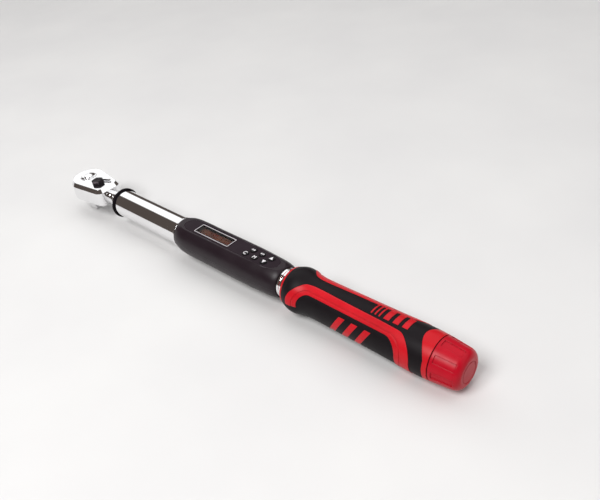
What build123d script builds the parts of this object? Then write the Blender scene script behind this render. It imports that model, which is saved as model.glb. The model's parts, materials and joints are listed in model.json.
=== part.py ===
from build123d import *
from math import cos, radians, sin
import os

# Digital torque wrench with a half-inch square drive, in millimetres.
# Origin: on the drive axis, level with the handle's centre line.
# +X runs along the handle to the battery cap, +Z is the display side.

# ---- ways to place a shape -----------------------------------------------
UP = (Align.CENTER, Align.CENTER, Align.MIN)
DOWN = (Align.CENTER, Align.CENTER, Align.MAX)
BACK = (Align.MIN, Align.CENTER, Align.CENTER)

# ---- driving dimensions --------------------------------------------------
WIDE = 60.0               # wider than any section of the wrench, for cutting shapes
GAP = 0.05                # static fit between pieces of one body, per side
RUN = 0.06                # running fit between a shaft and its hole, per side
FREE = 0.3                # free space between pieces that move past each other

HEAD_R = 19.2             # round front end of the ratchet head
HEAD_CORNER_R = 7.5       # its two rounded rear corners
HEAD_CORNERS = ((31.5, -7.5), (31.5, 7.5))
HEAD_TOP = 12.2
HEAD_BOTTOM = -8.75
BEVEL_IN = 2.4            # bevel around the head's top face, seen from above
BEVEL_DOWN = 4.2          # and seen from the side
LOWER_BEVEL = 2.4         # bevel around the bottom face
SHANK_R = 8.5             # round shank that enters the tube
SHANK_END = 84.0

GEAR_TEETH = 36
GEAR_TIP = 11.6
GEAR_ROOT = 10.6
GEAR_BORE = 12.0          # bore of the head around the gear
GEAR_TOP = 5.1
GEAR_FLOOR = -6.6
BOSS_R = 8.6              # gear hub that shows at the top of the head
BOSS_TOP = 12.4
DISH_R = 8.0              # conical dish around the quick-release button
DISH_DEPTH = 1.6
HUB_R = 9.6               # gear hub that shows at the bottom of the head
SHOULDER_Z = -9.25        # face that the socket seats against
SQUARE = 12.7             # half-inch square drive
SQUARE_END = -25.5

COVER_T = 2.0             # plate that closes the head from below
COVER_EDGE = 3.2          # the plate's edge lies this far inside the head's outline
SCREW_R = 1.0
SCREW_LENGTH = 6.5
SCREW_HEAD_R = 1.7
SCREW_HEAD_T = 0.75
SCREW_SPOTS = ((-13.95, 0), (31.5, 0))
TOP_WALL = 6.95
POCKET_W = 19.4           # room for the pawl, across the head
POCKET_TOP = HEAD_TOP - TOP_WALL
POCKET_FLOOR = HEAD_BOTTOM + COVER_T

PIN_R = 2.45              # quick-release pin down the middle of the gear
BUTTON_R = 5.0
BUTTON_BASE = 9.5
BUTTON_TOP = 13.7
BUTTON_FLOOR = 7.1        # floor of the button's bore, under its spring
SPRING_WIRE_R = 0.16
BALL_R = 2.4
BALL_Z = -17.5
BALL_OUT = 0.9            # how far the ball stands out of the square's face

PIVOT_X = 14.7            # pawl's pivot
PIVOT_R = 1.2
PAWL_TILT = 3.8           # pawl rocks this far to each side of the middle, degrees
PAWL_BACK = 17.0
LEVER_X = 20.5            # reversing lever's axis
LEVER_SHAFT_R = 2.8
LEVER_ANGLE = 38.0        # lever rests this far from the handle's centre line
KNOB_R = 6.8              # corner radius of the six-sided knob
KNOB_SPOT = (22.2, -2.3)  # the knob stands off the lever's axis
KNOB_BASE = 12.6
KNOB_TOP = 16.3
ARM_BASE = 12.9           # flat arm let into the knob
ARM_TOP = 14.6
ARM_ANGLE = 22.5
PLUNGER_R = 1.1
PLUNGER_REACH = 2.95

COLLAR_X = 58.5           # chrome collar in front of the tube
BUMPER_X = 62.0           # rubber ring on the tube's front end
BUMPER_R = 15.6
TUBE_X = 65.5
TUBE_END = 172.0
TUBE_R = 14.0
TUBE_WALL = 1.6
COLLAR_R = 13.4           # chrome collars in front of the tube and behind the housing
PLUG_R = TUBE_R - TUBE_WALL - GAP

BEAM_START = 66.0         # steel beam in the tube that carries the strain gauges
BEAM_FRONT = 90.0         # its thin middle runs from here
BEAM_REAR = 132.0         # to here
BEAM_END = 150.0
BEAM_W = 8.0
BEAM_H = 16.0
GAUGE_SIZE = (11.0, 0.3, 6.0)
CROSS_PIN_SPOTS = (74.0, 145.0)
CROSS_PIN_R = 2.0
CROSS_PIN_LENGTH = 23.0

ROD_R = 7.0               # steel rod from the tube to the grip
ROD_START = 140.5
ROD_END = 336.0
BUSH_START = 158.0

TRIM_X = 161.5            # chrome ring at the housing's front edge
TRIM_R = 14.9
HOUSING_X = 163.5
HOUSING_END = 297.5
HOUSING_R = 17.8
FLAT_Z = 14.8             # flat top that carries the display and the buttons
HOUSING_WALL = 2.0
HOLLOW_R = 15.2
HOLLOW_END = 287.0
NECK_BORE_R = 11.0        # bore of the housing's rear end
BOSS_SPOTS = ((181, -11.2), (181, 11.2), (280, -10.8), (280, 10.8))
LONG_SCREW_R = 1.2
LONG_SCREW_LENGTH = 14.5
LONG_SCREW_HEAD_R = 2.4
LONG_SCREW_HEAD_T = 1.8
LONG_SCREW_SEAT = -9.0
PLATE_T = 0.6
PLATE_MIN = 182.0         # straight part of the faceplate
PLATE_MAX = 278.0
PLATE_HALF = 8.8
PLATE_NOSE = 13.0         # length of each elliptical end

WINDOW_MIN = 188.0
WINDOW_MAX = 232.0
WINDOW_W = 10.8
FRAME_LINE = 0.55         # printed line around the display

KEY_R = 3.1
KEY_PITCH = 11.0
KEY_FIRST_X = 254.3
KEY_ROW_Y = 3.6
KEY_STAGGER = 3.1
KEY_BASE = 11.9
KEY_TOP = 15.6

BOARD_TOP = 9.6
BOARD_T = 1.6

GRIP_X = 305.5
GRIP_END = 449.5
SKIN_T = 2.2              # thickness of the soft skin over the grip's core
BAND_RISE = 0.35          # how far the raised bands stand above the skin
LIP_W = 2.2               # red lip at the grip's front end
TAIL_X = 445.5            # red tail of the grip, behind a curved edge
SPINE_W = 9.0             # skin left whole along the top and the bottom
BAND_MIN = 314.8
BAND_MAX = 434.8
BAND_HIGH = 16.6          # upper edge of the bands
BAND_LOW = -16.6          # lower end of each band's rear leg
BAND_CUT = -1.0           # front end of each band
BAND_CORNER = 15.0
PAD_MIN = 325.1
PAD_MAX = 422.1
PAD_HIGH = 12.3
PAD_CORNER = 11.0
GROOVE_MIN = 320.5
GROOVE_MAX = 427.7
GROOVE_HIGH = 14.5
GROOVE_CORNER = 13.0
GROOVE_W = 1.0            # line pressed into the bands
GROOVE_DEPTH = 0.3
SLOT_SPOTS = (365.0, 377.5, 390.0)
SLOT_Z = -1.65
SLOT_HALF = 10.35         # half height of each slanted slot
SLOT_LEAN = 6.5
SLOT_W = 5.9
CELL_R = 7.25
CELL_LENGTH = 50.5
CHAMBER_R = 8.3
CHAMBER_X = 342.0
CELL_X = 346.0

SEAL_T = 0.5
CAP_X = 450.1
CAP_R = 18.2
SHOULDER_X = 467.5        # the cap tapers to here and rounds over behind it
SHOULDER_R = 16.4
CAP_END = 473.4
CAP_FACE_R = 10.8
CAP_PANELS = 8
PANEL_MIN = 452.6
PANEL_MAX = 469.4
PANEL_W = 6.2
PANEL_DEPTH = 0.8
PANEL_TURN = 3.5          # turns the panels about the axis, degrees
THREAD_FREE = 0.35        # free space in place of the cap's thread
CAP_WIRE_R = 0.3
CAP_FLOOR_X = 461.0       # inside end of the cap
CAP_POCKET_X = 466.0      # pocket in that end, around the contact's stub
CAP_POCKET_R = 9.0
STUB_R = 2.0
STUB_HEAD_R = 3.0
STUB_HEAD_T = 1.0
CONTACT_X = 461.5
CONTACT_T = 0.8
CONTACT_R = 6.8
SPIGOT_R = 13.5           # end of the grip's core that the cap screws onto
SPIGOT_END = 459.0


# ---- shared shapes -------------------------------------------------------
def keep(builder, name):
    """Label a finished piece and write it."""
    builder.part.label = name
    export_step(builder.part, f"parts/{name}.step")


def half_profile(*corners):
    """Face with straight sides through (x, radius) corners, to turn about X."""
    with BuildSketch(Plane.XY) as profile:
        with BuildLine():
            Polyline(*corners, close=True)
        make_face()
    return profile.sketch


def ring_profile(x_min, x_max, inner, outer):
    """Plain ring between two radii, to turn about X."""
    return half_profile((x_min, inner), (x_max, inner), (x_max, outer), (x_min, outer))


def curved_profile(outline, x_min, x_max, inner):
    """Face under a smooth curve through (x, radius) points, down to an inner radius."""
    with BuildSketch(Plane.XY) as profile:
        with BuildLine():
            Spline(*outline)
            Polyline(outline[-1], (x_max, inner), (x_min, inner), outline[0])
        make_face()
    return profile.sketch


def turned_about(point, centre_x, degrees):
    """Point turned about a vertical axis through (centre_x, 0)."""
    x, y = point[0] - centre_x, point[1]
    c, s = cos(radians(degrees)), sin(radians(degrees))
    return centre_x + x * c - y * s, x * s + y * c


def gear_outline(grow=0.0, tilt=0.0):
    """V-toothed outline of the gear, grown for clearance and tilted about the pawl's pivot."""
    corners = []
    for step in range(2 * GEAR_TEETH):
        radius = (GEAR_TIP if step % 2 == 0 else GEAR_ROOT) + grow
        angle = radians(180 * step / GEAR_TEETH)
        point = (radius * cos(angle), radius * sin(angle))
        corners.append(turned_about(point, PIVOT_X, tilt))
    with BuildSketch(Plane.XY) as outline:
        Polygon(*corners, align=None)
    return outline.sketch


os.makedirs("parts", exist_ok=True)

# ---- ratchet head --------------------------------------------------------
with BuildSketch(Plane.XY) as head_shape:
    Circle(HEAD_R)
    with Locations(*HEAD_CORNERS):
        Circle(HEAD_CORNER_R)
    make_hull()

with BuildSketch(Plane.XY) as pocket_shape:
    Circle(GEAR_BORE)
    with Locations((PIVOT_X - 1.2, 0)):
        Rectangle(10, POCKET_W)
    with Locations((LEVER_X, 0)):
        Circle(LEVER_SHAFT_R + 1.2)

with BuildSketch(Plane.XY) as cover_shape:
    offset(head_shape.sketch, -COVER_EDGE)

with BuildPart() as ratchet_head:
    extrude(head_shape.sketch.moved(Location((0, 0, HEAD_BOTTOM))), amount=HEAD_TOP - HEAD_BOTTOM)
    top_face = ratchet_head.faces().sort_by(Axis.Z)[-1]
    chamfer(top_face.edges(), BEVEL_IN, BEVEL_DOWN, reference=top_face)
    chamfer(ratchet_head.faces().sort_by(Axis.Z)[0].edges(), LOWER_BEVEL)
    neck = half_profile(
        (20, 0), (20, 7.4), (48.5, 7.4), (49.5, 8.6), (50.5, 8.6), (51, 7.9), (52.2, 7.9),
        (54.5, 10.6), (COLLAR_X, 10.6), (COLLAR_X, SHANK_R), (SHANK_END, SHANK_R), (SHANK_END, 0),
    )
    revolve(neck, axis=Axis.X)
    extrude(pocket_shape.sketch.moved(Location((0, 0, HEAD_BOTTOM))),
            amount=POCKET_TOP - HEAD_BOTTOM, mode=Mode.SUBTRACT)
    extrude(cover_shape.sketch.moved(Location((0, 0, HEAD_BOTTOM))),
            amount=COVER_T, mode=Mode.SUBTRACT)
    with Locations((0, 0, HEAD_TOP)):
        Hole(BOSS_R + RUN, depth=TOP_WALL + 1)
    with Locations((LEVER_X, 0, HEAD_TOP)):
        Hole(LEVER_SHAFT_R + RUN, depth=TOP_WALL + 1)
    with Locations(*[(x, y, POCKET_FLOOR) for x, y in SCREW_SPOTS]):
        Cylinder(SCREW_R + GAP, SCREW_LENGTH, align=UP, mode=Mode.SUBTRACT)
    with Locations((CROSS_PIN_SPOTS[0], 0, 0)):
        Cylinder(CROSS_PIN_R + GAP, WIDE, mode=Mode.SUBTRACT)
keep(ratchet_head, "ratchet_head")

with BuildPart() as head_cover:
    with BuildSketch(Plane.XY.offset(HEAD_BOTTOM)):
        offset(cover_shape.sketch, -GAP)
        Circle(HUB_R + RUN, mode=Mode.SUBTRACT)
    extrude(amount=COVER_T - GAP)
    with Locations(*[(x, y, HEAD_BOTTOM) for x, y in SCREW_SPOTS]):
        Cylinder(SCREW_R + GAP, COVER_T, align=UP, mode=Mode.SUBTRACT)
        Cone(SCREW_HEAD_R + GAP, SCREW_R + GAP, SCREW_HEAD_T + GAP, align=UP, mode=Mode.SUBTRACT)
keep(head_cover, "head_cover")

with BuildPart() as cover_screws:
    with Locations(*[(x, y, HEAD_BOTTOM) for x, y in SCREW_SPOTS]):
        Cylinder(SCREW_R, SCREW_LENGTH, align=UP)
        Cone(SCREW_HEAD_R, SCREW_R, SCREW_HEAD_T, align=UP)
        Box(0.4, 2.2, 0.4, align=UP, mode=Mode.SUBTRACT)
keep(cover_screws, "cover_screws")

# ---- drive gear with its square ------------------------------------------
with BuildPart() as drive_gear:
    extrude(gear_outline().moved(Location((0, 0, GEAR_FLOOR))), amount=GEAR_TOP - GEAR_FLOOR)
    with BuildSketch(Plane.XY.offset(GEAR_TOP)):
        Circle(BOSS_R)
    extrude(amount=BOSS_TOP - GEAR_TOP)
    chamfer(drive_gear.faces().sort_by(Axis.Z)[-1].edges(), 0.3)
    with BuildSketch(Plane.XY.offset(SHOULDER_Z)):
        Circle(HUB_R)
    extrude(amount=GEAR_FLOOR - SHOULDER_Z)
    with BuildSketch(Plane.XY.offset(SHOULDER_Z)):
        RectangleRounded(SQUARE, SQUARE, 1.1)
    extrude(amount=SQUARE_END - SHOULDER_Z)
    square_tip = drive_gear.faces().sort_by(Axis.Z)[0]
    chamfer(square_tip.edges(), 0.9)
    with BuildSketch(Plane.XY.offset(BOSS_TOP)):
        Circle(BUTTON_R + RUN)
    extrude(amount=BUTTON_FLOOR - BOSS_TOP, mode=Mode.SUBTRACT)
    with BuildSketch(Plane.XZ):
        Polygon((BUTTON_R, BOSS_TOP), (DISH_R, BOSS_TOP), (BUTTON_R, BOSS_TOP - DISH_DEPTH), align=None)
    revolve(axis=Axis.Z, mode=Mode.SUBTRACT)
    with BuildSketch(Plane.XY.offset(BUTTON_FLOOR)):
        Circle(PIN_R + RUN)
    extrude(amount=SQUARE_END - BUTTON_FLOOR, mode=Mode.SUBTRACT)
    with BuildSketch(Plane.YZ.offset(-SQUARE)):
        with Locations((0, BALL_Z)):
            Circle(BALL_R + RUN)
    extrude(amount=SQUARE, mode=Mode.SUBTRACT)
keep(drive_gear, "drive_gear")

with BuildPart() as release_button:
    with Locations((0, 0, BUTTON_BASE)):
        Cylinder(BUTTON_R, BUTTON_TOP - BUTTON_BASE, align=UP)
    fillet(release_button.faces().sort_by(Axis.Z)[-1].edges(), 1.6)
keep(release_button, "release_button")

with BuildPart() as release_pin:
    with BuildSketch(Plane.XZ):
        with BuildLine():
            Polyline(
                (0, BUTTON_BASE), (PIN_R, BUTTON_BASE), (PIN_R, BALL_Z + 5.6), (1.12, BALL_Z + 4.2),
                (1.12, BALL_Z + 1.0), (PIN_R, BALL_Z - 0.9), (PIN_R, BALL_Z - 3.2),
                (PIN_R - 0.5, BALL_Z - 3.7), (0, BALL_Z - 3.7), close=True,
            )
        make_face()
    revolve(axis=Axis.Z)
keep(release_pin, "release_pin")

with BuildPart() as release_spring:
    with BuildLine():
        coil = Helix(pitch=0.68, height=2.04, radius=3.6, center=(0, 0, BUTTON_FLOOR + 0.18))
    with BuildSketch(Plane(coil @ 0, z_dir=coil % 0)):
        Circle(SPRING_WIRE_R)
    sweep(is_frenet=True)
keep(release_spring, "release_spring")

with BuildPart() as socket_ball:
    with Locations((BALL_R - SQUARE / 2 - BALL_OUT, 0, BALL_Z)):
        Sphere(BALL_R)
keep(socket_ball, "socket_ball")

# ---- pawl and reversing lever --------------------------------------------
with BuildPart() as pawl_pin:
    with Locations((PIVOT_X, 0, POCKET_FLOOR)):
        Cylinder(PIVOT_R, POCKET_TOP - POCKET_FLOOR, align=UP)
keep(pawl_pin, "pawl_pin")

with BuildPart() as pawl:
    blank = ((12.3, -2.0), (10.5, -4.1), (7.4, -7.7), (12.4, -8.6), (PAWL_BACK, -5.6))
    mirrored = tuple((x, -y) for x, y in reversed(blank))
    corners = [turned_about(point, PIVOT_X, -PAWL_TILT) for point in blank + mirrored]
    with BuildSketch(Plane.XY.offset(GEAR_FLOOR)):
        Polygon(*corners, align=None)
        add(gear_outline(RUN), mode=Mode.SUBTRACT)
        add(gear_outline(RUN, -2 * PAWL_TILT), mode=Mode.SUBTRACT)
        with Locations((PIVOT_X, 0)):
            Circle(PIVOT_R + RUN, mode=Mode.SUBTRACT)
    extrude(amount=GEAR_TOP - GEAR_FLOOR)
keep(pawl, "pawl")

with BuildPart() as arm_form:
    with BuildSketch(Plane.XY.offset(ARM_BASE)):
        with Locations(Location((LEVER_X, 0, 0), (0, 0, ARM_ANGLE))):
            Polygon((0, 1.8), (11.3, 2.3), (12.4, 3.1), (12.4, 4.1), (11.3, 4.9), (0, 5.3), align=None)
    extrude(amount=ARM_TOP - ARM_BASE)

with BuildPart() as reverse_lever:
    with BuildSketch(Plane.XY.offset(GEAR_FLOOR + 0.2)):
        with Locations((LEVER_X, 0)):
            Circle(LEVER_SHAFT_R)
    extrude(amount=KNOB_BASE - GEAR_FLOOR - 0.2)
    with BuildSketch(Plane.XY.offset(KNOB_BASE)):
        with Locations(Location((*KNOB_SPOT, 0), (0, 0, LEVER_ANGLE))):
            RegularPolygon(KNOB_R, 6)
    extrude(amount=KNOB_TOP - KNOB_BASE)
    chamfer(reverse_lever.faces().sort_by(Axis.Z)[-1].edges(), 1.3)
    add(arm_form.part, mode=Mode.SUBTRACT)
    with Locations(Location((*KNOB_SPOT, KNOB_TOP), (0, 0, LEVER_ANGLE))):
        Box(2 * KNOB_R, 0.7, 0.8, mode=Mode.SUBTRACT)
    with Locations(Location((LEVER_X, 0, -1), (0, 0, LEVER_ANGLE))):
        Cylinder(PLUNGER_R + GAP, 5, rotation=(0, -90, 0),
                 align=UP, mode=Mode.SUBTRACT)
keep(reverse_lever, "reverse_lever")

with BuildPart() as lever_arm:
    add(arm_form.part)
    chamfer(lever_arm.faces().sort_by(Axis.Z)[-1].edges(), 0.3)
keep(lever_arm, "lever_arm")

with BuildPart() as lever_plunger:
    with Locations(Location((LEVER_X, 0, -1), (0, 0, LEVER_ANGLE))):
        Cylinder(PLUNGER_R, PLUNGER_REACH, rotation=(0, -90, 0),
                 align=UP)
keep(lever_plunger, "lever_plunger")

# ---- tube and sensor beam ------------------------------------------------
with BuildPart() as front_collar:
    collar = half_profile(
        (COLLAR_X, SHANK_R + GAP), (COLLAR_X, COLLAR_R - 0.8), (COLLAR_X + 0.8, COLLAR_R),
        (BUMPER_X - 0.6, COLLAR_R), (BUMPER_X, COLLAR_R - 0.6), (BUMPER_X, SHANK_R + GAP),
    )
    revolve(collar, axis=Axis.X)
keep(front_collar, "front_collar")

with BuildPart() as bumper_ring:
    revolve(ring_profile(BUMPER_X, TUBE_X, SHANK_R + GAP, BUMPER_R), axis=Axis.X)
    rims = bumper_ring.edges().filter_by(GeomType.CIRCLE)
    fillet(rims.filter_by(lambda rim: rim.radius > BUMPER_R - 0.1), 1.2)
keep(bumper_ring, "bumper_ring")

with BuildPart() as front_tube:
    revolve(ring_profile(TUBE_X, TUBE_END, TUBE_R - TUBE_WALL, TUBE_R), axis=Axis.X)
keep(front_tube, "front_tube")

with BuildPart() as sensor_beam:
    revolve(ring_profile(BEAM_START, SHANK_END, SHANK_R + GAP, PLUG_R), axis=Axis.X)
    revolve(ring_profile(SHANK_END, BEAM_FRONT, 0, PLUG_R), axis=Axis.X)
    with Locations((BEAM_FRONT, 0, 0)):
        Box(BEAM_REAR - BEAM_FRONT, BEAM_W, BEAM_H, align=BACK)
    revolve(ring_profile(BEAM_REAR, ROD_START, 0, PLUG_R), axis=Axis.X)
    revolve(ring_profile(ROD_START, BEAM_END, ROD_R + GAP, PLUG_R), axis=Axis.X)
    with Locations(*[(x, 0, 0) for x in CROSS_PIN_SPOTS]):
        Cylinder(CROSS_PIN_R + GAP, WIDE, mode=Mode.SUBTRACT)
keep(sensor_beam, "sensor_beam")

with BuildPart() as strain_gauges:
    beam_middle = (BEAM_FRONT + BEAM_REAR) / 2
    gauge_y = (BEAM_W + GAUGE_SIZE[1]) / 2
    with Locations((beam_middle, gauge_y, 0), (beam_middle, -gauge_y, 0)):
        Box(*GAUGE_SIZE)
keep(strain_gauges, "strain_gauges")

with BuildPart() as cross_pins:
    with Locations(*[(x, 0, 0) for x in CROSS_PIN_SPOTS]):
        Cylinder(CROSS_PIN_R, CROSS_PIN_LENGTH)
keep(cross_pins, "cross_pins")

with BuildPart() as handle_rod:
    revolve(ring_profile(ROD_START + GAP, ROD_END, 0, ROD_R), axis=Axis.X)
    chamfer(handle_rod.edges().filter_by(GeomType.CIRCLE), 0.6)
    with Locations((CROSS_PIN_SPOTS[1], 0, 0)):
        Cylinder(CROSS_PIN_R + GAP, WIDE, mode=Mode.SUBTRACT)
keep(handle_rod, "handle_rod")

with BuildPart() as rod_bush:
    revolve(ring_profile(BUSH_START, TUBE_END, ROD_R + GAP, PLUG_R), axis=Axis.X)
keep(rod_bush, "rod_bush")

# ---- display housing -----------------------------------------------------
with BuildPart() as trim_ring:
    trim = half_profile(
        (TRIM_X, TUBE_R + GAP), (TRIM_X, TRIM_R - 0.4), (TRIM_X + 0.5, TRIM_R),
        (HOUSING_X, TRIM_R), (HOUSING_X, TUBE_R + GAP),
    )
    revolve(trim, axis=Axis.X)
keep(trim_ring, "trim_ring")

housing_outline = [
    (HOUSING_X, 14.6), (166.0, 15.6), (171.0, 17.0), (180.0, HOUSING_R), (200.0, HOUSING_R),
    (230.0, HOUSING_R), (262.0, 17.6), (282.0, 16.9), (291.0, 16.2), (295.5, 15.2), (HOUSING_END, 14.2),
]
with BuildPart() as housing_form:
    revolve(curved_profile(housing_outline, HOUSING_X, HOUSING_END, 0), axis=Axis.X)
    with Locations((HOUSING_X, 0, FLAT_Z)):
        Box(HOUSING_END - HOUSING_X, WIDE, WIDE, align=(Align.MIN, Align.CENTER, Align.MIN),
            mode=Mode.SUBTRACT)

with BuildPart() as housing_hollow:
    revolve(ring_profile(TUBE_END + 1, HOLLOW_END, 0, HOLLOW_R), axis=Axis.X)
    with Locations((HOUSING_X, 0, FLAT_Z - HOUSING_WALL)):
        Box(HOUSING_END - HOUSING_X, WIDE, WIDE, align=(Align.MIN, Align.CENTER, Align.MIN),
            mode=Mode.SUBTRACT)
    revolve(ring_profile(HOUSING_X - 1, TUBE_END + 1, 0, TUBE_R + GAP), axis=Axis.X)
    revolve(ring_profile(HOLLOW_END, HOUSING_END + 1, 0, NECK_BORE_R), axis=Axis.X)


def plate_outline(grow):
    """Outline of the faceplate: straight sides with elliptical ends."""
    with BuildSketch(Plane.XY) as outline:
        with Locations(((PLATE_MIN + PLATE_MAX) / 2, 0)):
            Rectangle(PLATE_MAX - PLATE_MIN, 2 * (PLATE_HALF + grow))
        with Locations((PLATE_MIN, 0), (PLATE_MAX, 0)):
            Ellipse(PLATE_NOSE + grow, PLATE_HALF + grow)
    return outline.sketch


with BuildSketch(Plane.XY) as window_shape:
    with Locations(((WINDOW_MIN + WINDOW_MAX) / 2, 0)):
        Rectangle(WINDOW_MAX - WINDOW_MIN, WINDOW_W)

key_centres = []
for row in (-1, 1):
    for column in range(3):
        key_x = KEY_FIRST_X + column * KEY_PITCH + (KEY_STAGGER if row > 0 else 0)
        key_centres.append((key_x, row * KEY_ROW_Y))

with BuildPart() as upper_housing:
    add(housing_form.part)
    add(housing_hollow.part, mode=Mode.SUBTRACT)
    split(bisect_by=Plane.XY, keep=Keep.TOP)
    extrude(plate_outline(GAP).moved(Location((0, 0, FLAT_Z - PLATE_T))), amount=PLATE_T,
            mode=Mode.SUBTRACT)
    with BuildSketch(Plane.XY.offset(FLAT_Z)):
        offset(window_shape.sketch, -1.2)
        with Locations(*key_centres):
            Circle(KEY_R + FREE)
    extrude(amount=-2 * HOUSING_WALL, mode=Mode.SUBTRACT)
    with Locations(*[(x, y, 0) for x, y in BOSS_SPOTS]):
        Cylinder(3.0, 7.0, align=UP)
        Cylinder(LONG_SCREW_R + GAP, 6.0, align=UP, mode=Mode.SUBTRACT)
    add(housing_form.part, mode=Mode.INTERSECT)
keep(upper_housing, "upper_housing")

with BuildPart() as lower_housing:
    add(housing_form.part)
    add(housing_hollow.part, mode=Mode.SUBTRACT)
    split(bisect_by=Plane.XY, keep=Keep.BOTTOM)
    with Locations(*[(x, y, 0) for x, y in BOSS_SPOTS]):
        Cylinder(3.6, 15.5, align=DOWN)
    add(housing_form.part, mode=Mode.INTERSECT)
    with Locations(*[(x, y, 0) for x, y in BOSS_SPOTS]):
        Cylinder(LONG_SCREW_R + 2 * GAP, WIDE, align=DOWN, mode=Mode.SUBTRACT)
    with Locations(*[(x, y, LONG_SCREW_SEAT) for x, y in BOSS_SPOTS]):
        Cylinder(LONG_SCREW_HEAD_R + 0.2, WIDE, align=DOWN, mode=Mode.SUBTRACT)
keep(lower_housing, "lower_housing")

with BuildPart() as housing_screws:
    with Locations(*[(x, y, LONG_SCREW_SEAT) for x, y in BOSS_SPOTS]):
        Cylinder(LONG_SCREW_R, LONG_SCREW_LENGTH, align=UP)
        Cylinder(LONG_SCREW_HEAD_R, LONG_SCREW_HEAD_T, align=DOWN)
    with Locations(*[(x, y, LONG_SCREW_SEAT - LONG_SCREW_HEAD_T) for x, y in BOSS_SPOTS]):
        Box(0.5, 3.0, 0.8, align=UP, mode=Mode.SUBTRACT)
        Box(3.0, 0.5, 0.8, align=UP, mode=Mode.SUBTRACT)
keep(housing_screws, "housing_screws")

with BuildPart() as faceplate:
    with BuildSketch(Plane.XY.offset(FLAT_Z - PLATE_T)):
        add(plate_outline(0))
        add(window_shape.sketch, mode=Mode.SUBTRACT)
        with Locations(*key_centres):
            Circle(KEY_R + FREE, mode=Mode.SUBTRACT)
    extrude(amount=PLATE_T)
keep(faceplate, "faceplate")

with BuildPart() as display_window:
    extrude(offset(window_shape.sketch, -GAP).moved(Location((0, 0, FLAT_Z - PLATE_T))), amount=PLATE_T)
keep(display_window, "display_window")

with BuildPart() as display_frame:
    with BuildSketch(Plane.XY.offset(FLAT_Z)):
        offset(window_shape.sketch, 0.2 + FRAME_LINE)
        offset(window_shape.sketch, 0.2, mode=Mode.SUBTRACT)
    extrude(amount=0.1)
keep(display_frame, "display_frame")

with BuildPart() as display_module:
    with Locations(((WINDOW_MIN + WINDOW_MAX) / 2, 0, BOARD_TOP)):
        Box(WINDOW_MAX - WINDOW_MIN + 1, WINDOW_W + 0.6, 3.1, align=UP)
keep(display_module, "display_module")

with BuildPart() as circuit_board:
    with Locations((231, 0, BOARD_TOP - BOARD_T)):
        Box(90, 18.5, BOARD_T, align=UP)
    with Locations(*[(x, y, BOARD_TOP) for x, y in BOSS_SPOTS]):
        Cylinder(3.4, 10, mode=Mode.SUBTRACT)
keep(circuit_board, "circuit_board")

with BuildPart() as board_chips:
    with Locations((239.5, 4.5, BOARD_TOP), (246.5, 0.0, BOARD_TOP)):
        Box(5, 5, 1.2, align=UP)
    with Locations((262, 0, BOARD_TOP - BOARD_T), (205, 0, BOARD_TOP - BOARD_T)):
        Box(9, 4, 0.9, align=DOWN)
keep(board_chips, "board_chips")

with BuildPart() as buzzer:
    with Locations((240.0, -3.6, BOARD_TOP)):
        Cylinder(3.8, 2.4, align=UP)
keep(buzzer, "buzzer")

with BuildPart() as key_switches:
    with Locations(*[(x, y, BOARD_TOP) for x, y in key_centres]):
        Box(4.6, 4.6, 1.1, align=UP)
        Cylinder(1.2, 1.6, align=UP)
keep(key_switches, "key_switches")

key_names = ("key_clear", "key_memory", "key_down", "key_units", "key_mode", "key_up")
for key_name, (key_x, key_y) in zip(key_names, key_centres):
    with BuildPart() as key:
        with Locations((key_x, key_y, KEY_BASE)):
            Cylinder(KEY_R + 0.6, 0.6, align=UP)
            Cylinder(KEY_R, KEY_TOP - KEY_BASE, align=UP)
        fillet(key.faces().sort_by(Axis.Z)[-1].edges(), 0.5)
    keep(key, key_name)

with BuildPart() as rear_collar:
    collar = half_profile(
        (289.0, ROD_R + GAP), (289.0, 10.9), (HOUSING_END, 10.9), (HOUSING_END, 12.8),
        (298.2, 13.4), (300.2, 13.4), (300.6, 12.9), (301.4, 12.9), (301.8, 13.4),
        (GRIP_X, 13.4), (GRIP_X, ROD_R + GAP),
    )
    revolve(collar, axis=Axis.X)
keep(rear_collar, "rear_collar")

# ---- grip ----------------------------------------------------------------
grip_outline = [
    (GRIP_X, 17.0), (308.0, 17.9), (312.0, 19.4), (316.5, 20.1), (321.0, 19.6), (326.0, 18.3),
    (332.0, 17.5), (340.0, 17.3), (360.0, 17.5), (390.0, 17.8), (410.0, 18.1), (425.0, 18.5),
    (440.0, 18.6), (GRIP_END, 18.2),
]
core_outline = [(x, radius - SKIN_T) for x, radius in grip_outline]
band_outline = [(x, radius + BAND_RISE) for x, radius in grip_outline]

with BuildPart() as grip_form:
    revolve(curved_profile(grip_outline, GRIP_X, GRIP_END, 0), axis=Axis.X)

with BuildPart() as core_form:
    revolve(curved_profile(core_outline, GRIP_X, GRIP_END, 0), axis=Axis.X)

with BuildPart() as band_form:
    revolve(curved_profile(band_outline, GRIP_X, GRIP_END, 0), axis=Axis.X)

groove_outline = [(x, radius + BAND_RISE - GROOVE_DEPTH) for x, radius in grip_outline]

with BuildPart() as groove_form:
    revolve(curved_profile(groove_outline, GRIP_X, GRIP_END, 0), axis=Axis.X)


def rounded_box(x_min, x_max, high, corner):
    """Rounded rectangle seen from the side, equally high above and below the centre line."""
    with BuildSketch(Plane.XZ) as outline:
        with Locations(((x_min + x_max) / 2, 0)):
            RectangleRounded(x_max - x_min, 2 * high, corner)
    return outline.sketch


with BuildSketch(Plane.XZ) as pad_shape:
    add(rounded_box(PAD_MIN, PAD_MAX, PAD_HIGH, PAD_CORNER))

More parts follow.
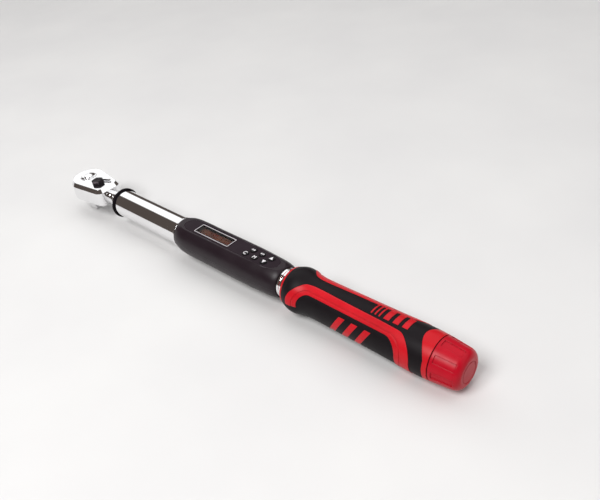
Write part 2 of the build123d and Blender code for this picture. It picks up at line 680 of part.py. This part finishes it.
with BuildSketch(Plane.XZ) as band_shape:
    add(rounded_box(BAND_MIN, BAND_MAX, BAND_HIGH, BAND_CORNER))
    with Locations((PAD_MAX, BAND_LOW)):
        Rectangle(BAND_MAX - PAD_MAX, BAND_CUT - BAND_LOW, align=(Align.MIN, Align.MIN))
    add(pad_shape.sketch, mode=Mode.SUBTRACT)
    with Locations((PAD_MAX, BAND_CUT)):
        Rectangle(BAND_MAX - BAND_MIN, BAND_HIGH, align=(Align.MAX, Align.MAX), mode=Mode.SUBTRACT)

with BuildSketch(Plane.XZ) as groove_shape:
    add(rounded_box(GROOVE_MIN, GROOVE_MAX, GROOVE_HIGH, GROOVE_CORNER))
    add(rounded_box(GROOVE_MIN + GROOVE_W, GROOVE_MAX - GROOVE_W, GROOVE_HIGH - GROOVE_W,
                    GROOVE_CORNER - GROOVE_W), mode=Mode.SUBTRACT)

with BuildSketch(Plane.XZ) as slot_shapes:
    with Locations(*[(x, SLOT_Z) for x in SLOT_SPOTS]):
        Polygon(
            (-SLOT_LEAN - SLOT_W / 2, -SLOT_HALF), (-SLOT_LEAN + SLOT_W / 2, -SLOT_HALF),
            (SLOT_LEAN + SLOT_W / 2, SLOT_HALF), (SLOT_LEAN - SLOT_W / 2, SLOT_HALF), align=None,
        )

with BuildSketch(Plane.XZ) as tail_shape:
    with Locations((TAIL_X - 5.5, 0)):
        Rectangle(24, WIDE)
    with Locations((TAIL_X - 21.85, 0)):
        Circle(23.35, mode=Mode.SUBTRACT)

with BuildPart() as lip_zone:
    with Locations((GRIP_X, 0, 0)):
        Box(LIP_W, WIDE, WIDE, align=BACK)

with BuildPart() as tail_zone:
    extrude(tail_shape.sketch, amount=WIDE / 2, both=True)
    with Locations((TAIL_X, 0, 0)):
        Box(10, WIDE, WIDE, align=BACK)

with BuildPart() as sides:
    extrude(band_shape.sketch, amount=WIDE / 2, both=True)
    extrude(pad_shape.sketch, amount=WIDE / 2, both=True)
    with Locations((BAND_MIN - 1, 0, 0)):
        Box(BAND_MAX - BAND_MIN + 2, SPINE_W, WIDE, align=BACK, mode=Mode.SUBTRACT)

with BuildPart() as grip_ends:
    add(lip_zone.part)
    add(tail_zone.part)
    add(grip_form.part, mode=Mode.INTERSECT)

with BuildPart() as grip_core:
    add(core_form.part)
    add(grip_ends.part)
    revolve(ring_profile(GRIP_END - 1, SPIGOT_END, 0, SPIGOT_R), axis=Axis.X)
    revolve(ring_profile(GRIP_X - 1, ROD_END + 1, 0, ROD_R + GAP), axis=Axis.X, mode=Mode.SUBTRACT)
    revolve(ring_profile(CHAMBER_X, SPIGOT_END + 1, 0, CHAMBER_R + GAP), axis=Axis.X, mode=Mode.SUBTRACT)
keep(grip_core, "grip_core")

with BuildPart() as grip_skin:
    add(grip_form.part)
    add(core_form.part, mode=Mode.SUBTRACT)
    add(grip_ends.part, mode=Mode.SUBTRACT)
    add(sides.part, mode=Mode.SUBTRACT)
keep(grip_skin, "grip_skin")

for side_name, outwards in (("right", WIDE / 2), ("left", -WIDE / 2)):
    with BuildPart() as side_groove:
        extrude(groove_shape.sketch, amount=outwards)
        add(groove_form.part, mode=Mode.SUBTRACT)

    with BuildPart() as side_band:
        extrude(band_shape.sketch, amount=outwards)
        add(sides.part, mode=Mode.INTERSECT)
        add(band_form.part, mode=Mode.INTERSECT)
        add(core_form.part, mode=Mode.SUBTRACT)
        add(side_groove.part, mode=Mode.SUBTRACT)
    keep(side_band, f"grip_band_{side_name}")

    with BuildPart() as side_pad:
        extrude(pad_shape.sketch, amount=outwards)
        extrude(slot_shapes.sketch, amount=outwards, mode=Mode.SUBTRACT)
        add(grip_form.part, mode=Mode.INTERSECT)
        add(core_form.part, mode=Mode.SUBTRACT)
    keep(side_pad, f"side_pad_{side_name}")

    with BuildPart() as side_inserts:
        extrude(slot_shapes.sketch, amount=outwards)
        add(grip_form.part, mode=Mode.INTERSECT)
        add(core_form.part, mode=Mode.SUBTRACT)
    keep(side_inserts, f"side_inserts_{side_name}")

# ---- battery chamber and cap ---------------------------------------------
with BuildPart() as battery_sleeve:
    revolve(ring_profile(CHAMBER_X, SPIGOT_END - 0.5, CELL_R + 0.35, CHAMBER_R), axis=Axis.X)
keep(battery_sleeve, "battery_sleeve")

for cell_number in (1, 2):
    cell_x = CELL_X + (cell_number - 1) * CELL_LENGTH
    with BuildPart() as cell:
        body = half_profile(
            (cell_x, 0), (cell_x, 2.7), (cell_x + 1.2, 2.7), (cell_x + 1.2, 6.9), (cell_x + 1.6, CELL_R),
            (cell_x + CELL_LENGTH - 0.5, CELL_R), (cell_x + CELL_LENGTH - 0.1, 6.8),
            (cell_x + CELL_LENGTH - 0.1, 0),
        )
        revolve(body, axis=Axis.X)
    keep(cell, f"battery_{cell_number}")

with BuildPart() as front_contact:
    revolve(ring_profile(CHAMBER_X + 0.1, CHAMBER_X + 0.6, 0, CELL_R), axis=Axis.X)
    revolve(ring_profile(CHAMBER_X + 0.6, CELL_X, 0, 2.2), axis=Axis.X)
keep(front_contact, "front_contact")

with BuildPart() as cap_seal:
    revolve(ring_profile(GRIP_END, GRIP_END + SEAL_T, SPIGOT_R + 0.4, CAP_R - 0.7), axis=Axis.X)
keep(cap_seal, "cap_seal")


def cap_outline(inset):
    """Half section of the cap's outside, shrunk by an inset, to turn about X."""
    with BuildSketch(Plane.XY) as profile:
        with BuildLine():
            taper = Line((CAP_X, CAP_R - inset), (SHOULDER_X, SHOULDER_R - inset))
            shoulder = TangentArc(taper @ 1, (CAP_END - inset, CAP_FACE_R - inset), tangent=taper % 1)
            Polyline(shoulder @ 1, (CAP_END - inset, 0), (CAP_X, 0), taper @ 0)
        make_face()
    return profile.sketch


with BuildPart() as cap_recesses:
    for panel in range(CAP_PANELS):
        with Locations(Location((0, 0, 0), (PANEL_TURN + 360 * panel / CAP_PANELS, 0, 0))):
            with Locations((PANEL_MIN, 0, CAP_FACE_R)):
                Box(PANEL_MAX - PANEL_MIN, PANEL_W, CAP_R, align=(Align.MIN, Align.CENTER, Align.MIN))
    revolve(cap_outline(PANEL_DEPTH), axis=Axis.X, mode=Mode.SUBTRACT)

with BuildPart() as battery_cap:
    revolve(cap_outline(0), axis=Axis.X)
    chamfer(battery_cap.faces().sort_by(Axis.X)[0].edges(), 0.4)
    add(cap_recesses.part, mode=Mode.SUBTRACT)
    revolve(ring_profile(CAP_X, CAP_FLOOR_X, 0, SPIGOT_R + THREAD_FREE), axis=Axis.X, mode=Mode.SUBTRACT)
    revolve(ring_profile(CAP_FLOOR_X, CAP_POCKET_X, 0, CAP_POCKET_R), axis=Axis.X, mode=Mode.SUBTRACT)
    revolve(ring_profile(CAP_END - 0.4, CAP_END, 8.2, 8.9), axis=Axis.X, mode=Mode.SUBTRACT)
    revolve(ring_profile(CONTACT_X - 0.2, CAP_POCKET_X, 0, STUB_R), axis=Axis.X)
    revolve(ring_profile(CONTACT_X - 0.2 - STUB_HEAD_T, CONTACT_X - 0.2, 0, STUB_HEAD_R), axis=Axis.X)
keep(battery_cap, "battery_cap")

with BuildPart() as cap_contact:
    revolve(ring_profile(CONTACT_X, CONTACT_X + CONTACT_T, STUB_R + RUN, CONTACT_R), axis=Axis.X)
keep(cap_contact, "cap_contact")

with BuildPart() as cap_spring:
    with BuildLine():
        cap_coil = Helix(pitch=2.8, height=14.0, radius=5.4, center=(447.25, 0, 0), direction=(1, 0, 0))
    with BuildSketch(Plane(cap_coil @ 0, z_dir=cap_coil % 0)):
        Circle(CAP_WIRE_R)
    sweep(is_frenet=True)
keep(cap_spring, "cap_spring")
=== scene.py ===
import json
import math

import bmesh
import bpy
from mathutils import Matrix, Vector
from mathutils.bvhtree import BVHTree


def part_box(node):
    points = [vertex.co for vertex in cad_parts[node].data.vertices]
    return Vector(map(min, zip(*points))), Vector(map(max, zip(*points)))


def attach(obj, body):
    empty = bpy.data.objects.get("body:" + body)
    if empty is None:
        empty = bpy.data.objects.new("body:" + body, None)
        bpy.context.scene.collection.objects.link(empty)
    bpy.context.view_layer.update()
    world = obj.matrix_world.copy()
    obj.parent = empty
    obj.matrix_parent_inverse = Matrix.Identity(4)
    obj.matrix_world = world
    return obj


# Looks of the digital torque wrench. Lengths are in metres, in the row frame:
# +X runs along the handle to the battery cap, +Z is the display side.

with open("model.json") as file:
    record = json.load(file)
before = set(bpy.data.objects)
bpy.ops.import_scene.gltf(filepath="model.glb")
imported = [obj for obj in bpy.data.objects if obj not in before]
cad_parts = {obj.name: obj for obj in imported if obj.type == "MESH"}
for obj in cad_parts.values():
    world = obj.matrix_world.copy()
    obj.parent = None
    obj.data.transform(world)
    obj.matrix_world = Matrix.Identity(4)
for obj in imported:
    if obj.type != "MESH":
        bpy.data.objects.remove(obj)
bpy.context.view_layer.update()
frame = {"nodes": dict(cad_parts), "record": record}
nodes = frame["nodes"]

MM = 0.001
PRINT_T = 0.00004                         # thickness of printed marks

# ---- camera and floor ----------------------------------------------------
LENS = 40.8                               # on a sensor 36 mm wide
CAMERA_AT = Vector((0.638, -0.2995, 0.3594))
CAMERA_AIM = Vector((-0.5902, 0.5550, -0.5862))
CAMERA_ROLL = math.radians(-7.8)
FLOOR_SIZE = 40.0
OPENING_SIDES = ((0.0, 0.992, 0.122), (0.0, -0.53, 0.848))   # inward normals of the bright wedge
OPENING_EDGE = 0.05                       # softness of its edges
ROOM = (0.074, 0.060, 0.053)              # dim, slightly warm rest of the room
SKY_STRENGTH = 1.25
FLOOR_CLEARANCE = 0.0002                  # floor lies this far below the square's end
KEY_LIGHT_AT = (0.25, -1.45, 1.90)
KEY_LIGHT_AIM = (0.30, 0.0, 0.0)
KEY_LIGHT_SIZE = 1.10
KEY_LIGHT_WATTS = 52


def add_camera():
    data = bpy.data.cameras.new("view")
    data.lens = LENS
    data.clip_start = 0.01
    camera = bpy.data.objects.new("view", data)
    turn = CAMERA_AIM.to_track_quat("-Z", "Y").to_matrix().to_4x4()
    camera.matrix_world = Matrix.Translation(CAMERA_AT) @ turn @ Matrix.Rotation(CAMERA_ROLL, 4, "Z")
    bpy.context.scene.collection.objects.link(camera)
    bpy.context.scene.camera = camera


# ---- material helpers ----------------------------------------------------
class Shader:
    """Node tree of one material, with short calls to add and join nodes."""

    def __init__(self, name):
        self.material = bpy.data.materials.new(name)
        self.material.use_nodes = True
        self.tree = self.material.node_tree
        self.surface = self.tree.nodes["Principled BSDF"]
        self.place = self.add("ShaderNodeTexCoord").outputs["Object"]

    def add(self, kind, settings=None, **sockets):
        made = self.tree.nodes.new(kind)
        for key, value in (settings or {}).items():
            setattr(made, key, value)
        for key, value in sockets.items():
            self.set(made.inputs[key.replace("_", " ")], value)
        return made

    def set(self, socket, value):
        if isinstance(value, bpy.types.NodeSocket):
            self.tree.links.new(value, socket)
        else:
            socket.default_value = value

    def feed(self, **sockets):
        for key, value in sockets.items():
            self.set(self.surface.inputs[key.replace("_", " ")], value)

    def stretched(self, scale):
        mapping = self.add("ShaderNodeMapping", Vector=self.place)
        mapping.inputs["Scale"].default_value = scale
        return mapping.outputs["Vector"]

    def noise(self, scale, detail=4.0, vector=None, roughness=0.5):
        made = self.add("ShaderNodeTexNoise", Vector=vector or self.place, Scale=scale,
                        Detail=detail, Roughness=roughness)
        return made.outputs["Fac"]

    def ramp(self, factor, low, high, start, end):
        """Colour from start to end as the factor goes from low to high."""
        made = self.add("ShaderNodeValToRGB", Fac=factor)
        made.color_ramp.elements[0].position = low
        made.color_ramp.elements[0].color = (*start, 1.0)
        made.color_ramp.elements[1].position = high
        made.color_ramp.elements[1].color = (*end, 1.0)
        return made.outputs["Color"]

    def between(self, factor, low, high, start, end):
        made = self.add("ShaderNodeMapRange", Value=factor, From_Min=low, From_Max=high,
                        To_Min=start, To_Max=end)
        return made.outputs["Result"]

    def times(self, first, second):
        made = self.add("ShaderNodeMath", {"operation": "MULTIPLY"})
        self.set(made.inputs[0], first)
        self.set(made.inputs[1], second)
        return made.outputs[0]

    def blend(self, factor, first, second):
        made = self.add("ShaderNodeMix", {"data_type": "RGBA"})
        self.set(made.inputs[0], factor)
        for socket, value in ((made.inputs[6], first), (made.inputs[7], second)):
            self.set(socket, value if isinstance(value, bpy.types.NodeSocket) else (*value, 1.0))
        return made.outputs[2]

    def rounded(self, radius):
        made = self.add("ShaderNodeBevel", {"samples": 6}, Radius=radius)
        return made.outputs["Normal"]

    def edges(self, soft_normal):
        """Mask that is bright where the rounded normal leaves the flat one."""
        flat = self.add("ShaderNodeNewGeometry").outputs["True Normal"]
        dot = self.add("ShaderNodeVectorMath", {"operation": "DOT_PRODUCT"})
        self.set(dot.inputs[0], soft_normal)
        self.set(dot.inputs[1], flat)
        return self.between(dot.outputs["Value"], 0.97, 0.86, 0.0, 1.0)

    def bump(self, height, distance, normal=None, strength=1.0):
        made = self.add("ShaderNodeBump", Height=height, Distance=distance, Strength=strength)
        if normal is not None:
            self.set(made.inputs["Normal"], normal)
        return made.outputs["Normal"]


def moulded(name, colour, edge_wear_and_highlight_colour, gloss, grain_scale, grain_depth, edge=0.0003, shine=0.25, edge_wear_and_highlight_strength=0.35):
    """Moulded plastic or rubber: mottled colour, fine grain, and paler edges. On most finishes these are
    worn edges; on the faceplate film they are a painted highlight along its edges.
    """
    shader = Shader(name)
    soft = shader.rounded(edge)
    dark = tuple(c * 0.84 for c in colour)
    body = shader.ramp(shader.noise(35, 5.0), 0.35, 0.68, dark, colour)
    # Paler edge mask: real wear on most finishes; on the faceplate film it is a painted highlight along the
    # edges.
    edge_wear_and_highlight_mask = shader.between(shader.noise(160, 6.0), 0.45, 0.7, 0.0, edge_wear_and_highlight_strength)
    grain = shader.noise(grain_scale, 3.0)
    shader.feed(
        Base_Color=shader.blend(shader.times(shader.edges(soft), edge_wear_and_highlight_mask), body, edge_wear_and_highlight_colour),
        Roughness=shader.between(shader.noise(90, 6.0), 0.3, 0.75, gloss - 0.06, gloss + 0.07),
        Normal=shader.bump(grain, grain_depth, soft),
        Specular_IOR_Level=shine,
    )
    return shader


def polished(name, colour=(0.86, 0.86, 0.87), smooth=0.04, edge=0.0004):
    """Chrome plate: near-mirror, with faint smudges, hairline scratches and ripple."""
    shader = Shader(name)
    soft = shader.rounded(edge)
    smudge = shader.noise(45, 6.0)
    hairs = shader.noise(500, 2.0, shader.stretched((0.06, 1.0, 1.0)))
    lifted = shader.bump(shader.noise(40, 1.0), 0.00001, soft, 0.4)
    shader.feed(
        Base_Color=shader.ramp(smudge, 0.3, 0.7, tuple(c * 0.95 for c in colour), colour),
        Metallic=1.0,
        Roughness=shader.between(smudge, 0.45, 0.8, smooth, smooth + 0.07),
        Normal=shader.bump(hairs, 0.0000006, lifted, 0.5),
    )
    return shader


def machined(name, colour=(0.50, 0.50, 0.52), rough=0.34, edge=0.0002):
    """Turned steel: fine tool lines and light oil staining."""
    shader = Shader(name)
    soft = shader.rounded(edge)
    lines = shader.noise(2600, 2.0, shader.stretched((1.0, 0.08, 0.08)))
    stain = shader.noise(70, 6.0)
    shader.feed(
        Base_Color=shader.ramp(stain, 0.35, 0.7, tuple(c * 0.7 for c in colour), colour),
        Metallic=1.0,
        Roughness=shader.between(stain, 0.3, 0.7, rough + 0.1, rough - 0.06),
        Normal=shader.bump(lines, 0.000008, soft),
    )
    return shader


def clear_window(name):
    """Hard clear plastic over the display."""
    shader = Shader(name)
    shader.feed(
        Base_Color=shader.ramp(shader.noise(30, 2.0), 0.3, 0.7, (0.80, 0.72, 0.68), (0.86, 0.80, 0.76)),
        Roughness=shader.between(shader.noise(300, 5.0), 0.4, 0.8, 0.02, 0.06),
        Transmission_Weight=1.0,
        IOR=1.12,
        Specular_IOR_Level=0.1,
        Normal=shader.bump(shader.noise(80, 1.0), 0.000002),
    )
    return shader


# Where the display's shadows fade out, along X at its front and across Y at its far edge.
SHADOW_FRONT = (0.188, 0.196)
SHADOW_FAR = (0.0048, 0.0030)


def display(name):
    """Unlit liquid-crystal panel: brown, in shadow along its front and far edges."""
    shader = Shader(name)
    parts = shader.add("ShaderNodeSeparateXYZ", Vector=shader.place)
    from_front = shader.between(parts.outputs["X"], *SHADOW_FRONT, 0.12, 1.0)
    from_far = shader.between(parts.outputs["Y"], *SHADOW_FAR, 0.25, 1.0)
    brown = shader.ramp(shader.noise(60, 2.0), 0.35, 0.65, (0.115, 0.026, 0.017), (0.105, 0.044, 0.026))
    shader.feed(
        Base_Color=shader.blend(shader.times(from_front, from_far), (0.012, 0.006, 0.007), brown),
        Roughness=shader.between(shader.noise(400, 3.0), 0.3, 0.7, 0.35, 0.45),
        Normal=shader.bump(shader.noise(3000, 2.0), 0.000001),
        Specular_IOR_Level=0.1,
    )
    return shader


RED = (0.57, 0.006, 0.014)
BLACK = (0.015, 0.008, 0.012)

finishes = {
    "polished_chrome": polished("polished_chrome"),
    "steel": machined("steel"),
    "dark_steel": machined("dark_steel", (0.028, 0.023, 0.026), 0.36, 0.0004),
    "contact_metal": machined("contact_metal", (0.66, 0.62, 0.52), 0.28),
    "black_rubber": moulded("black_rubber", (0.006, 0.0045, 0.006), (0.04, 0.038, 0.04), 0.55, 1800, 0.00002,
                            shine=0.05),
    "soft_grip": moulded("soft_grip", (0.007, 0.0045, 0.006), (0.05, 0.045, 0.045), 0.48, 2600, 0.00002,
                         0.0004, 0.13),
    "housing_plastic": moulded("housing_plastic", BLACK, (0.07, 0.065, 0.07), 0.38, 2400, 0.000012, 0.0005),
    # Faceplate film: its dark base colour carries a purple tint that is a painted reflection of red
    # surroundings, with low specular in its place.
    # Faceplate film: its pale edge colour at full strength is a painted highlight along the plate's edges,
    # not wear.
    "faceplate_film": moulded("faceplate_film", (0.017, 0.009, 0.014), (0.22, 0.20, 0.22), 0.35, 3200,
                              0.000005, 0.0006, 0.08, 1.0),
    "display_glass": clear_window("display_glass"),
    "display_panel": display("display_panel"),
    "printed_line": moulded("printed_line", (0.80, 0.77, 0.80), (0.85, 0.85, 0.85), 0.45, 2000, 0.000003),
    "key_rubber": moulded("key_rubber", (0.008, 0.006, 0.008), (0.05, 0.045, 0.05), 0.40, 2200, 0.000012,
                          0.0004, 0.15),
    "board": moulded("board", (0.02, 0.12, 0.05), (0.3, 0.25, 0.1), 0.4, 1200, 0.00001),
    "foil": moulded("foil", (0.55, 0.28, 0.06), (0.6, 0.4, 0.2), 0.3, 1500, 0.000005),
    "red_plastic": moulded("red_plastic", RED, (0.66, 0.07, 0.07), 0.36, 1500, 0.000008, 0.0005, 0.18),
    "cap_plastic": moulded("cap_plastic", (0.48, 0.004, 0.017), (0.62, 0.08, 0.10), 0.32, 1500, 0.000007,
                           0.0006, 0.15),
    "sleeve_plastic": moulded("sleeve_plastic", (0.5, 0.5, 0.47), (0.6, 0.6, 0.6), 0.5, 1500, 0.00001),
    "battery_jacket": moulded("battery_jacket", (0.02, 0.02, 0.024), (0.2, 0.2, 0.2), 0.25, 900, 0.000006),
}


def dress_cad_nodes():
    slots = {entry["node"]: entry["material_slot"] for entry in frame["record"]["subparts"]}
    for name, node in nodes.items():
        node.data.materials.clear()
        node.data.materials.append(finishes[slots[name]].material)
        for polygon in node.data.polygons:
            polygon.use_smooth = True


# ---- printed marks -------------------------------------------------------
def add_print(name, outlines, centre, body, slot):
    """Thin flat mark, from outlines in millimetres around a centre that lies on the surface."""
    build = bmesh.new()
    for outline in outlines:
        corners = [build.verts.new(centre + Vector((x * MM, y * MM, PRINT_T))) for x, y in outline]
        build.faces.new(corners)
    raised = bmesh.ops.extrude_face_region(build, geom=build.faces[:])["geom"]
    for corner in raised:
        if isinstance(corner, bmesh.types.BMVert):
            corner.co.z -= 2 * PRINT_T
    bmesh.ops.recalc_face_normals(build, faces=build.faces[:])
    mesh = bpy.data.meshes.new(name)
    build.to_mesh(mesh)
    build.free()
    mesh.materials.append(finishes[slot].material)
    mark = bpy.data.objects.new(name, mesh)
    bpy.context.scene.collection.objects.link(mark)
    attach(mark, body)


def bar(x, y, width, height):
    return [(x - width / 2, y - height / 2), (x + width / 2, y - height / 2),
            (x + width / 2, y + height / 2), (x - width / 2, y + height / 2)]


def open_ring(radius, stroke, gap, steps=14):
    """Ring with an opening towards +X, as in a letter C."""
    turns = [math.radians(gap + (360 - 2 * gap) * step / steps) for step in range(steps + 1)]
    outer = [(radius * math.cos(turn), radius * math.sin(turn)) for turn in turns]
    inner = [((radius - stroke) * math.cos(turn), (radius - stroke) * math.sin(turn)) for turn in turns]
    return outer + inner[::-1]


def zigzag(half, stroke):
    """Letter M."""
    top, inset = half, half - stroke
    return [(-half, -half), (-inset, -half), (-inset, top - 1.7 * stroke), (0, -0.3 * half),
            (inset, top - 1.7 * stroke), (inset, -half), (half, -half), (half, top), (inset, top),
            (0, 0.25 * half), (-inset, top), (-half, top)]


def triangle(half, way):
    return [(-half, -way * half * 0.8), (half, -way * half * 0.8), (0, way * half)][::way]


KEY_MARKS = {
    "key_clear": [open_ring(2.1, 0.8, 42)],
    "key_memory": [zigzag(1.75, 0.75)],
    "key_down": [triangle(2.1, -1)],
    "key_units": [bar(-1.5, 0, 0.8, 1.7), bar(-0.25, 0, 0.8, 1.7), bar(1.25, 0, 1.2, 1.7)],
    "key_mode": [bar(-1.3, 0, 1.2, 1.6), bar(0.2, 0, 0.8, 1.6), bar(1.5, 0, 0.8, 1.6)],
    "key_up": [triangle(2.1, 1)],
}


def add_key_marks():
    for key, outlines in KEY_MARKS.items():
        low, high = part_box(key)
        centre = Vector(((low.x + high.x) / 2, (low.y + high.y) / 2, high.z))
        add_print("mark_" + key, outlines, centre, key, "printed_line")


# ---- bars on the grip ----------------------------------------------------
BADGE_START = 0.3915                       # distance along the handle
BADGE_BARS = ((0.0, 0.0013), (0.0036, 0.0013), (0.0072, 0.0013), (0.0118, 0.0050), (0.0202, 0.0050),
              (0.0286, 0.0050))           # start and width of each bar
BADGE_TURNS = (-0.26, 0.40)                # each bar's near and far ends, in radians about the handle
BADGE_RISE = 0.00015
BADGE_ACROSS = 14                          # mesh steps around the handle, for each bar
BADGE_ALONG = 3                            # and along it
OUTSIDE = 0.05                             # distance from the axis that is clear of the grip


def add_badge():
    """Row of plain bars moulded into the top of the grip's skin."""
    skin = nodes["grip_skin"].data
    tree = BVHTree.FromPolygons([v.co for v in skin.vertices], [p.vertices for p in skin.polygons])
    build = bmesh.new()
    for start, width in BADGE_BARS:
        rows = []
        for i in range(BADGE_ACROSS + 1):
            turn = BADGE_TURNS[0] + (BADGE_TURNS[1] - BADGE_TURNS[0]) * i / BADGE_ACROSS
            out = Vector((0, math.sin(turn), math.cos(turn)))
            row = []
            for j in range(BADGE_ALONG + 1):
                on_axis = Vector((BADGE_START + start + width * j / BADGE_ALONG, 0, 0))
                hit = tree.ray_cast(on_axis + out * OUTSIDE, -out)[0]
                row.append(build.verts.new(hit + out * BADGE_RISE))
            rows.append(row)
        for lower, upper in zip(rows, rows[1:]):
            for j in range(BADGE_ALONG):
                build.faces.new((lower[j], lower[j + 1], upper[j + 1], upper[j]))
    bmesh.ops.recalc_face_normals(build, faces=build.faces[:])
    mesh = bpy.data.meshes.new("grip_bars")
    build.to_mesh(mesh)
    build.free()
    mesh.materials.append(finishes["red_plastic"].material)
    bars = bpy.data.objects.new("grip_bars", mesh)
    thick = bars.modifiers.new("thickness", "SOLIDIFY")
    thick.thickness = 2 * BADGE_RISE
    thick.offset = 0.0
    bpy.context.scene.collection.objects.link(bars)
    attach(bars, "wrench")


# ---- studio --------------------------------------------------------------
def add_floor():
    """Pale floor, tilted to run just under the square's end and the underside of the cap."""
    square_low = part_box("drive_gear")[0].z
    cap_low, cap_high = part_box("battery_cap")
    slope = math.atan2(cap_low.z - square_low, cap_high.x)
    mesh = bpy.data.meshes.new("floor")
    build = bmesh.new()
    bmesh.ops.create_grid(build, x_segments=8, y_segments=8, size=FLOOR_SIZE / 2)
    build.to_mesh(mesh)
    build.free()
    floor = bpy.data.objects.new("floor", mesh)
    lowered = Matrix.Translation((0, 0, square_low - FLOOR_CLEARANCE))
    floor.matrix_world = lowered @ Matrix.Rotation(-slope, 4, "Y")
    bpy.context.scene.collection.objects.link(floor)
    paper = Shader("paper")
    paper.feed(
        Base_Color=paper.ramp(paper.noise(6, 3.0), 0.3, 0.7, (0.66, 0.655, 0.655), (0.70, 0.695, 0.69)),
        Roughness=0.8,
        Normal=paper.bump(paper.noise(700, 3.0), 0.00003),
    )
    mesh.materials.append(paper.material)


def add_key_light():
    data = bpy.data.lights.new("key_light", "AREA")
    data.shape = "RECTANGLE"
    data.size = KEY_LIGHT_SIZE
    data.size_y = KEY_LIGHT_SIZE
    data.energy = KEY_LIGHT_WATTS
    light = bpy.data.objects.new("key_light", data)
    direction = Vector(KEY_LIGHT_AIM) - Vector(KEY_LIGHT_AT)
    turn = direction.to_track_quat("-Z", "Y").to_matrix().to_4x4()
    light.matrix_world = Matrix.Translation(Vector(KEY_LIGHT_AT)) @ turn
    bpy.context.scene.collection.objects.link(light)


def add_sky():
    """Studio surround: dark room with one wide, soft, bright opening overhead and behind."""
    world = bpy.data.worlds.new("studio")
    bpy.context.scene.world = world
    world.use_nodes = True
    tree = world.node_tree
    place = tree.nodes.new("ShaderNodeTexCoord")
    colour = tree.nodes["Background"].inputs["Color"]
    sides = []
    for inward in OPENING_SIDES:
        depth = tree.nodes.new("ShaderNodeVectorMath")
        depth.operation = "DOT_PRODUCT"
        depth.inputs[1].default_value = inward
        ramp = tree.nodes.new("ShaderNodeValToRGB")
        ramp.color_ramp.elements[0].position = 0.0
        ramp.color_ramp.elements[0].color = (*ROOM, 1.0)
        ramp.color_ramp.elements[1].position = OPENING_EDGE
        ramp.color_ramp.elements[1].color = (1.0, 1.0, 1.0, 1.0)
        tree.links.new(place.outputs["Generated"], depth.inputs[0])
        tree.links.new(depth.outputs["Value"], ramp.inputs["Fac"])
        sides.append(ramp.outputs["Color"])
    both = tree.nodes.new("ShaderNodeMix")
    both.data_type = "RGBA"
    both.blend_type = "DARKEN"
    both.inputs[0].default_value = 1.0
    tree.links.new(sides[0], both.inputs[6])
    tree.links.new(sides[1], both.inputs[7])
    tree.links.new(both.outputs[2], colour)
    tree.nodes["Background"].inputs["Strength"].default_value = SKY_STRENGTH


bpy.context.scene.view_settings.view_transform = "Standard"
add_camera()
dress_cad_nodes()
add_key_marks()
add_badge()
add_floor()
add_sky()
add_key_light()
